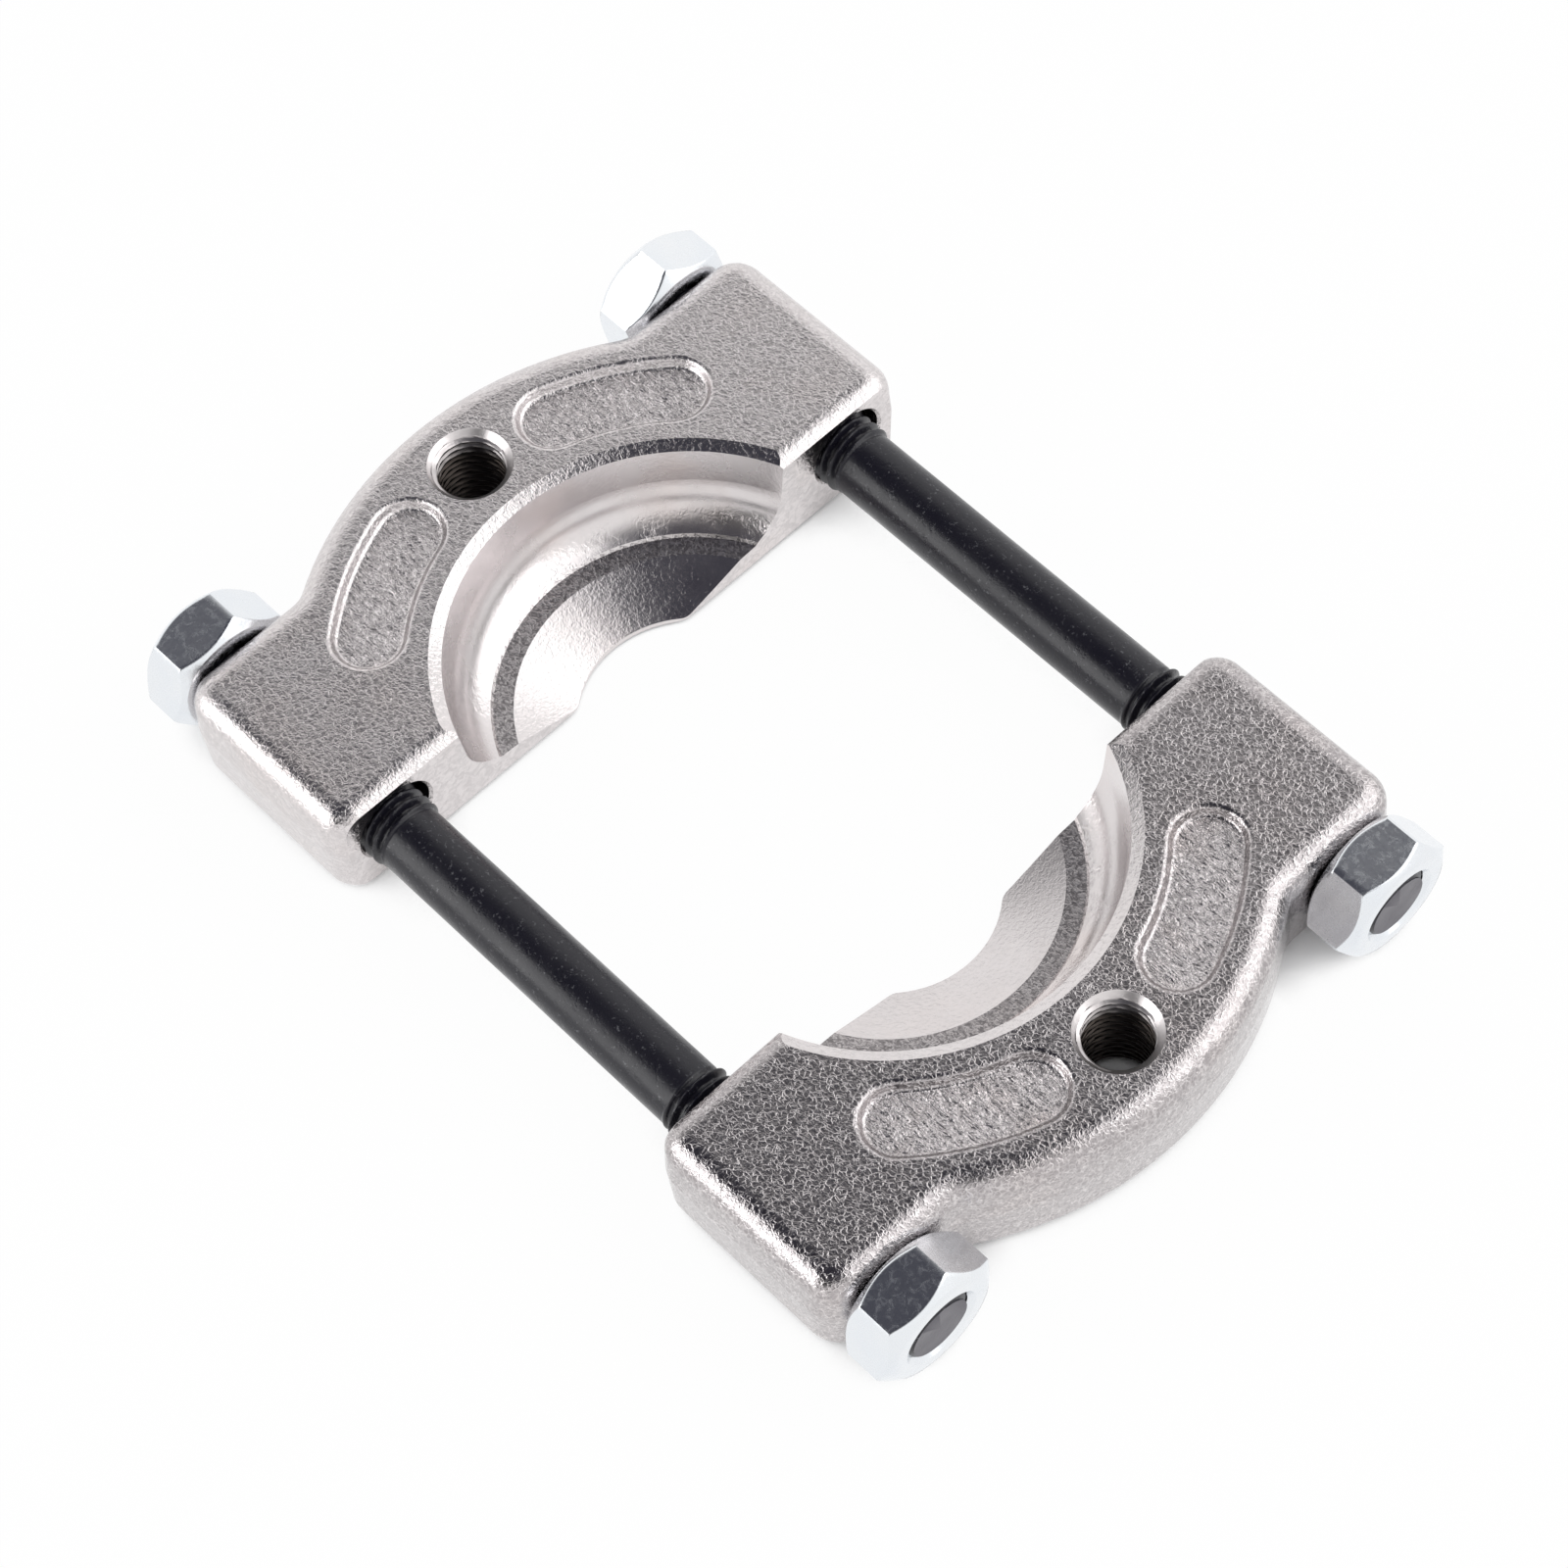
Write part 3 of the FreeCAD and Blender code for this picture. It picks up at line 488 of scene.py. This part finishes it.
def threaded_rod(node):
    """A closed skin: rings along the rod and a fan at each end."""
    low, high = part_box(node)
    middle = (low[0] + high[0]) / 2.0
    half = (high[0] - low[0]) / 2.0
    centre_y = (low[1] + high[1]) / 2.0
    centre_z = (low[2] + high[2]) / 2.0
    fine = np.arange(SHANK_END - 0.2 * MM, half - 0.05 * MM, PITCH / ROWS_PER_PITCH)
    plain = np.linspace(-SHANK_END + 1.0 * MM, SHANK_END - 1.0 * MM, PLAIN_ROWS)
    along = np.concatenate([[-half], -fine[::-1], plain, fine, [half]])
    angle = np.linspace(0.0, 2.0 * math.pi, ROUND_STEPS, endpoint=False)
    grid_along, grid_angle = np.meshgrid(along, angle, indexing="ij")
    radius = rod_radius(grid_along, grid_angle, half)
    skin = turned_about_x(middle + grid_along, grid_angle, radius, centre_y, centre_z)
    poles = np.array([[middle - half, centre_y, centre_z], [middle + half, centre_y, centre_z]])
    points = np.vstack([skin.reshape(-1, 3), poles])
    rows = len(along)
    faces = grid_quads(rows, ROUND_STEPS).tolist()
    first_pole = np.full(ROUND_STEPS, rows * ROUND_STEPS)
    last_pole = first_pole + 1
    ring = np.arange(ROUND_STEPS)
    after = (ring + 1) % ROUND_STEPS
    base = (rows - 1) * ROUND_STEPS
    faces += np.stack([first_pole, after, ring], axis=1).tolist()
    faces += np.stack([last_pole, base + ring, base + after], axis=1).tolist()
    piece = mesh_object(node + "_threaded", points, faces, oxide, smooth_angle=40.0)
    piece.data.materials.append(cut_end)
    finish = np.zeros(len(faces), dtype=np.int32)
    finish[-2 * ROUND_STEPS:] = 1
    piece.data.polygons.foreach_set("material_index", finish)
    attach(piece, "rods")
    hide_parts(node)
    return piece


for rod_name in ("rod_1", "rod_2"):
    rod = threaded_rod(rod_name)
    print(rod.name, len(rod.data.polygons), "faces")

# %% [markdown]
# ## Castings with tapped holes
#
# The solid jaws are right except for the thread of the puller hole. Each jaw is copied, the wall
# of its hole is taken out of the copy, and a threaded wall is sewn in. The rest of the copy keeps
# the solid's own vertices and normals, and its faces are sorted by place into the skins that the
# real casting has: sand-cast, turned, milled and so on.

# %% The jaw's mesh and the threaded wall
PULLER_PITCH = 1.5 * MM
PULLER_CORE = 6.19 * MM
PULLER_ROOT = 7.0 * MM
PULLER_MOUTH = 7.75 * MM
PULLER_SETBACK = 39.8 * MM
HOLE_ROWS = 160
HOLE_SPLIT = 2
HOLE_EDGE = 0.05 * MM
RIM_TOLERANCE = 0.02 * MM


def mesh_arrays(source):
    """Vertices, triangles and corner normals of a mesh, as arrays, with doubles merged."""
    places = np.empty(len(source.vertices) * 3)
    source.vertices.foreach_get("co", places)
    corners = np.empty(len(source.loops), dtype=np.int64)
    source.loops.foreach_get("vertex_index", corners)
    normals = np.empty(len(source.loops) * 3)
    source.corner_normals.foreach_get("vector", normals)
    rounded = np.round(places.reshape(-1, 3), 7)
    merged, link = np.unique(rounded, axis=0, return_inverse=True)
    return merged, link.reshape(-1)[corners].reshape(-1, 3), normals.reshape(-1, 3, 3)


def hole_wall(top, bottom, angles, centre):
    """The wall of a tapped hole about a vertical axis, as rows of points from the top down. Its
    radius is the larger of the thread's and of a 45 degree countersink's at each end. The angles
    are those of the rim, and between each two of them the wall has one more column."""
    steps = np.append(angles, angles[0] + 2.0 * math.pi)
    columns = np.arange(len(angles) * HOLE_SPLIT) / HOLE_SPLIT
    fine = np.interp(columns, np.arange(len(steps)), steps)
    height = np.linspace(top - HOLE_EDGE, bottom + HOLE_EDGE, HOLE_ROWS)
    grid_height, grid_angle = np.meshgrid(height, fine, indexing="ij")
    groove = thread_fall(grid_height, grid_angle, PULLER_PITCH, INNER_CREST, INNER_ROOT)
    thread = PULLER_CORE + (PULLER_ROOT - PULLER_CORE) * groove
    sink = PULLER_MOUTH - np.minimum(top - grid_height, grid_height - bottom)
    radius = np.maximum(thread, sink)
    return turned_about_z(radius, grid_angle, grid_height, centre).reshape(-1, 3)


def rim_order(places, centre, height):
    """The rim's vertices at a height and their angles about the hole, in the order of the angle."""
    away = np.hypot(places[:, 0] - centre[0], places[:, 1] - centre[1])
    on_rim = np.abs(away - PULLER_MOUTH) < RIM_TOLERANCE
    at_height = np.abs(places[:, 2] - height) < RIM_TOLERANCE / 2.0
    rim = np.where(on_rim & at_height)[0]
    angle = np.arctan2(places[rim, 1] - centre[1], places[rim, 0] - centre[0])
    order = np.argsort(np.mod(angle + 0.01, 2.0 * math.pi))
    return rim[order], np.unwrap(angle[order])


def sewing_faces(upper_rim, lower_rim, first_row, last_row):
    """Five-cornered faces: each joins two neighbours of a rim to three columns of the wall."""
    after_rim = np.roll(np.arange(len(upper_rim)), -1)
    left, between = first_row[0::2], first_row[1::2]
    upper = np.stack([upper_rim, upper_rim[after_rim], left[after_rim], between, left], axis=1)
    left, between = last_row[0::2], last_row[1::2]
    lower = np.stack([left, between, left[after_rim], lower_rim[after_rim], lower_rim], axis=1)
    return np.vstack([upper, lower])


# %% Sort the faces into skins
CAST, POCKET, TURNED, LEDGE, MILLED, THREAD, KNIFE, RIM = range(8)
OPENING_SETBACK = 14.4 * MM
WALL_RADIUS = 43.2 * MM
WALL_TOP = 0.9 * MM
LEDGE_LEVEL = 5.6 * MM
LEDGE_RADIUS = 30.38 * MM
BEVEL_RADIUS = 46.2 * MM
BEVEL_DEPTH = 1.2 * MM
POCKET_DEPTH = 1.8 * MM
POCKET_RADIUS = 46.0 * MM
MATING_TOLERANCE = 0.02 * MM
FLOOR_TOLERANCE = 0.05 * MM
FLAT_FACING = 0.99


def skin_numbers(places, triangles, facing, mating_x, centre_y, side, low, high):
    """Which skin each triangle has, from its place: across is the distance behind the mating face,
    around the distance from the opening's axis, height the distance above the jaw's bottom and
    level the height of its top. facing holds the unit normals."""
    middle = places[triangles].mean(axis=1)
    across = (middle[:, 0] - mating_x) * side
    around = np.hypot(across + OPENING_SETBACK, middle[:, 1] - centre_y)
    height = middle[:, 2] - low
    level = high - low
    upwards = facing[:, 2]
    behind = across > MATING_TOLERANCE
    skin = np.full(len(triangles), CAST, dtype=np.int64)
    inside = (around < WALL_RADIUS) & (height < level - WALL_TOP) & behind
    skin[inside & (height > LEDGE_LEVEL)] = TURNED
    skin[inside & (height <= LEDGE_LEVEL) & (around > LEDGE_RADIUS)] = LEDGE
    skin[inside & (around <= LEDGE_RADIUS) & (upwards > -0.5)] = KNIFE
    slanting = (upwards > 0.5) & (upwards < 0.985) & (height > level - BEVEL_DEPTH)
    skin[slanting & (around < BEVEL_RADIUS) & behind] = RIM
    front = facing[:, 0] * side < -FLAT_FACING
    skin[front & (across < MATING_TOLERANCE)] = MILLED
    skin[upwards < -FLAT_FACING] = MILLED
    floor = np.abs(height - (level - POCKET_DEPTH)) < FLOOR_TOLERANCE
    skin[floor & (upwards > 0.9) & (around > POCKET_RADIUS)] = POCKET
    return skin


# %% Sew the threaded wall into the copy


def tapped_casting(node, body, side, cast_skin):
    """A copy of the solid jaw with a thread sewn into its puller hole."""
    places, triangles, normals = mesh_arrays(nodes[node].data)
    low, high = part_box(node)
    mating_x = low[0] if side > 0 else high[0]
    centre = np.array([mating_x + side * PULLER_SETBACK, (low[1] + high[1]) / 2.0])
    away = np.hypot(places[:, 0] - centre[0], places[:, 1] - centre[1])
    in_hole = (away[triangles] < PULLER_MOUTH + RIM_TOLERANCE).all(axis=1)
    triangles, normals = triangles[~in_hole], normals[~in_hole]
    edges = places[triangles]
    facing = np.cross(edges[:, 1] - edges[:, 0], edges[:, 2] - edges[:, 0])
    facing /= np.maximum(np.linalg.norm(facing, axis=1, keepdims=True), 1e-12)
    top_rim, angles = rim_order(places, centre, high[2])
    bottom_rim = rim_order(places, centre, low[2])[0]
    wall = hole_wall(high[2], low[2], angles, centre)
    columns = len(angles) * HOLE_SPLIT
    base = len(places)
    quads = grid_quads(HOLE_ROWS, columns, base)
    first_row = base + np.arange(columns)
    seams = sewing_faces(top_rim, bottom_rim, first_row, first_row + (HOLE_ROWS - 1) * columns)
    skins = skin_numbers(places, triangles, facing, mating_x, centre[1], side, low[2], high[2])
    faces = triangles.tolist() + quads.tolist() + seams.tolist()
    mesh = bpy.data.meshes.new(node + "_casting")
    mesh.from_pydata(np.vstack([places, wall]).tolist(), [], faces)
    mesh.polygons.foreach_set("use_smooth", np.ones(len(faces), dtype=bool))
    for finish in (cast_skin, pocket_floor, turned_skin, ledge_skin, milled_skin, thread_skin,
                   knife_skin, rim_skin):
        mesh.materials.append(finish)
    numbers = np.concatenate([skins, np.full(len(quads) + len(seams), THREAD)])
    mesh.polygons.foreach_set("material_index", numbers.astype(np.int32))
    mesh.set_sharp_from_angle(angle=math.radians(35.0))
    given = np.zeros((len(mesh.loops), 3))
    given[:len(triangles) * 3] = normals.reshape(-1, 3)
    mesh.normals_split_custom_set(given.tolist())
    piece = bpy.data.objects.new(node + "_casting", mesh)
    scene.collection.objects.link(piece)
    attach(piece, body)
    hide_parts(node)
    return piece


for jaw_name, jaw_side, jaw_skin in (("jaw_a", -1, skin_a), ("jaw_b", 1, skin_b)):
    jaw = tapped_casting(jaw_name, jaw_name, jaw_side, jaw_skin)
    print(jaw.name, len(jaw.data.polygons), "faces")

# %% [markdown]
# ## Nuts
#
# A hexagon nut is a hexagonal bar cut by a cone at each face. The same trick as for the thread
# works: at each angle the hexagon has one radius and the cone another, and the nut has the
# smaller. A soft minimum rounds the edge between them as tumbling in a plating drum does.

# %% Four nuts
NUT_HALF_FLATS = 11.5 * MM
NUT_CORNER_CONE = math.tan(math.radians(38.0))
NUT_FACE_RADIUS = 10.5 * MM
NUT_BORE_CREST = 5.92 * MM
NUT_BORE_ROOT = 7.06 * MM
NUT_SINK = 7.75 * MM
NUT_EDGE = 0.35 * MM
NUT_STEPS = 120
NUT_CHAMFER_ZONE = 3.0 * MM
NUT_CHAMFER_ROWS = 22
NUT_FLAT_ROWS = 6
NUT_FACE_RINGS = np.array([9.6, 8.6]) * MM
NUT_BORE_ROWS = 78
NUT_CENTRE_HEIGHT = 13.279 * MM
ROD_MIDDLE = -0.4 * MM


def soft_minimum(first, second, width):
    """The smaller of two values, with a rounded step of a width where they are close."""
    share = np.clip(0.5 + 0.5 * (second - first) / width, 0.0, 1.0)
    return second + (first - second) * share - width * share * (1.0 - share)


def hexagon_radius(angle, corner_angle):
    """Half the width across flats over the cosine of the angle from the nearest flat's middle."""
    step = math.radians(60.0)
    from_flat = np.mod(angle - corner_angle, step) - step / 2.0
    return NUT_HALF_FLATS / np.cos(from_flat)


def threaded_nut(node, body, turn, shaft_phase):
    """A closed ring: outside, one face, threaded bore and the other face, row by row."""
    low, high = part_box(node)
    centre_y = (low[1] + high[1]) / 2.0
    centre_z = NUT_CENTRE_HEIGHT
    length = high[0] - low[0]
    angle = np.linspace(0.0, 2.0 * math.pi, NUT_STEPS, endpoint=False)
    near = np.linspace(0.0, NUT_CHAMFER_ZONE, NUT_CHAMFER_ROWS)[1:]
    flats = np.linspace(NUT_CHAMFER_ZONE, length - NUT_CHAMFER_ZONE, NUT_FLAT_ROWS)[1:-1]
    far = np.linspace(length - NUT_CHAMFER_ZONE, length, NUT_CHAMFER_ROWS)[:-1]
    outside = np.concatenate([near, flats, far])
    outer_along, outer_angle = np.meshgrid(outside, angle, indexing="ij")
    corner = math.radians(90.0 + turn)
    cone = NUT_FACE_RADIUS + np.minimum(outer_along, length - outer_along) / NUT_CORNER_CONE
    outer = soft_minimum(hexagon_radius(outer_angle, corner), cone, NUT_EDGE)
    bore = np.linspace(length, 0.0, NUT_BORE_ROWS)
    bore_along, bore_angle = np.meshgrid(bore, angle, indexing="ij")
    from_phase = low[0] + bore_along - shaft_phase
    fall = thread_fall(from_phase, bore_angle, PITCH, INNER_CREST, INNER_ROOT)
    inner = NUT_BORE_CREST + (NUT_BORE_ROOT - NUT_BORE_CREST) * (1.0 - fall)
    inner = np.maximum(inner, NUT_SINK - np.minimum(bore_along, length - bore_along))
    far_face = np.broadcast_to(NUT_FACE_RINGS[:, None], (len(NUT_FACE_RINGS), NUT_STEPS))
    at_far_face = np.full(far_face.shape, length)
    along = np.vstack([outer_along, at_far_face, bore_along, np.zeros(far_face.shape)])
    radius = np.vstack([outer, far_face, inner, far_face[::-1]])
    rows = len(along)
    every = np.broadcast_to(angle, along.shape)
    skin = turned_about_x(low[0] + along, every, radius, centre_y, centre_z).reshape(-1, 3)
    faces = grid_quads(rows, NUT_STEPS).tolist()
    ring = np.arange(NUT_STEPS)
    after = (ring + 1) % NUT_STEPS
    base = (rows - 1) * NUT_STEPS
    faces += np.stack([base + ring, base + after, after, ring], axis=1).tolist()
    piece = mesh_object(node + "_threaded", skin, faces, zinc, smooth_angle=35.0)
    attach(piece, body)
    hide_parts(node)
    return piece


NUT_TURNS = {"nut_a1": 6.0, "nut_a2": -17.0, "nut_b1": -25.0, "nut_b2": -14.0}
for nut_name, nut_turn in NUT_TURNS.items():
    nut = threaded_nut(nut_name, nut_name, nut_turn, ROD_MIDDLE)
    print(nut.name, len(nut.data.polygons), "faces")

# %% [markdown]
# ## Floor, backdrop and light
#
# Polished metal shows its surroundings, so most of its look is the room round it. The studio here
# has a white table and white walls, a dark ceiling that reaches down at the camera's side, and two
# large soft boxes: one low at the left and one high at the right. Faces that look up come out
# dark, and rounded edges and walls come out bright.

# %% White table
TABLE_HALF = 3.0
TABLE_SHINE = 0.97
TABLE_GLARE = 1.12
SHADE_REACH = 14.0 * MM
SHADE_EDGE = (0.27, 0.45)


def white_table():
    """A large pale floor. The camera sees it nearly white where it lies open and dark under the
    tool, where little light gets in. Polished metal sees it a little brighter still."""
    corners = [[-1.0, -1.0, 0.0], [1.0, -1.0, 0.0], [1.0, 1.0, 0.0], [-1.0, 1.0, 0.0]]
    points = np.array(corners) * TABLE_HALF
    material, tree, shader = new_material("table")
    shader.inputs["Base Color"].default_value = (0.9, 0.9, 0.9, 1.0)
    shader.inputs["Roughness"].default_value = 0.8
    path = add_node(tree, "ShaderNodeLightPath")
    seen = calculate(tree, "MAXIMUM", path.outputs["Is Camera Ray"], path.outputs["Is Glossy Ray"])
    glare = spread(tree, path.outputs["Is Glossy Ray"], 0.0, 1.0, 1.0, TABLE_GLARE)
    shine = add_node(tree, "ShaderNodeEmission", None, Color=(1.0, 1.0, 1.0, 1.0), Strength=glare)
    open_air = add_node(tree, "ShaderNodeAmbientOcclusion", {"samples": 12}, Distance=SHADE_REACH)
    openness = spread(tree, open_air.outputs["AO"], *SHADE_EDGE, 0.0, TABLE_SHINE)
    share = calculate(tree, "MULTIPLY", seen, openness)
    mixed = add_node(tree, "ShaderNodeMixShader", None, Fac=share)
    tree.links.new(shader.outputs["BSDF"], mixed.inputs[1])
    tree.links.new(shine.outputs["Emission"], mixed.inputs[2])
    output = next(n for n in tree.nodes if n.type == "OUTPUT_MATERIAL")
    tree.links.new(mixed.outputs["Shader"], output.inputs["Surface"])
    mesh_object("table", points, [[0, 1, 2, 3]], material)


white_table()

# %% Soft boxes


def soft_box(name, azimuth, elevation, distance, size, brightness):
    """A square area lamp that looks at the origin from a direction. Its brightness is what a
    mirror would show, where 1 is white: power over pi times its area."""
    lamp_data = bpy.data.lights.new(name, "AREA")
    lamp_data.shape = "SQUARE"
    lamp_data.size = size
    lamp_data.energy = brightness * math.pi * size * size
    lamp = bpy.data.objects.new(name, lamp_data)
    scene.collection.objects.link(lamp)
    stand = np.eye(4)
    stand[:3, :3] = camera_axes(math.radians(azimuth), math.radians(elevation), 0.0)
    stand[:3, 3] = stand[:3, 2] * distance
    lamp.matrix_world = Matrix(stand.tolist())


soft_box("left_soft_box", 335.0, 21.0, 1.4, 1.1, 2.4)
soft_box("right_soft_box", 140.0, 42.0, 1.4, 1.5, 1.3)

# %% The room
WALL_LIGHT = 1.15
DARK_MIDDLE = (350.0, 75.0)
CAMERA_SIDE = (12.0, 33.0)
ROOM_STEPS = ((0.5, 1.0), (0.64, 0.72), (0.7, 0.5), (0.75, 0.3), (0.8, 0.16), (0.95, 0.045))
DARK_TINT = 0.015
CAMERA_SIDE_EDGE = (0.91, 0.97)
CAMERA_SIDE_SHARE = 0.15
WHITE = (1.0, 1.0, 1.0, 1.0)


def towards(azimuth, elevation):
    """The direction of an azimuth and an elevation in degrees, as three numbers."""
    return tuple(camera_axes(math.radians(azimuth), math.radians(elevation), 0.0)[:, 2])


def nearness(tree, direction, azimuth, elevation):
    """The cosine of the angle between the ray and a direction."""
    node = add_node(tree, "ShaderNodeVectorMath", {"operation": "DOT_PRODUCT"})
    set_socket(tree, node.inputs[0], direction)
    set_socket(tree, node.inputs[1], towards(azimuth, elevation))
    return node.outputs["Value"]


world = bpy.data.worlds.new("studio")
scene.world = world
world.use_nodes = True
room = world.node_tree
room.nodes.clear()
room_output = room.nodes.new("ShaderNodeOutputWorld")
background = room.nodes.new("ShaderNodeBackground")
room.links.new(background.outputs["Background"], room_output.inputs["Surface"])
direction = add_node(room, "ShaderNodeTexCoord").outputs["Generated"]
steps = add_node(room, "ShaderNodeValToRGB", None, Fac=nearness(room, direction, *DARK_MIDDLE))
for number, (where, share) in enumerate(ROOM_STEPS):
    stops = steps.color_ramp.elements
    stop = stops[number] if number < 2 else stops.new(where)
    stop.position = where
    stop.color = (share, share, share + DARK_TINT * (where > 0.75), 1.0)
shade = spread(room, nearness(room, direction, *CAMERA_SIDE), *CAMERA_SIDE_EDGE,
               WALL_LIGHT, WALL_LIGHT * CAMERA_SIDE_SHARE)
seen = add_node(room, "ShaderNodeLightPath").outputs["Is Camera Ray"]
unseen = calculate(room, "SUBTRACT", 1.0, seen)
strength = calculate(room, "MULTIPLY_ADD", shade, unseen, seen)
room.links.new(strength, background.inputs["Strength"])
tint = blend_colours(room, seen, steps.outputs["Color"], WHITE)
room.links.new(tint, background.inputs["Color"])
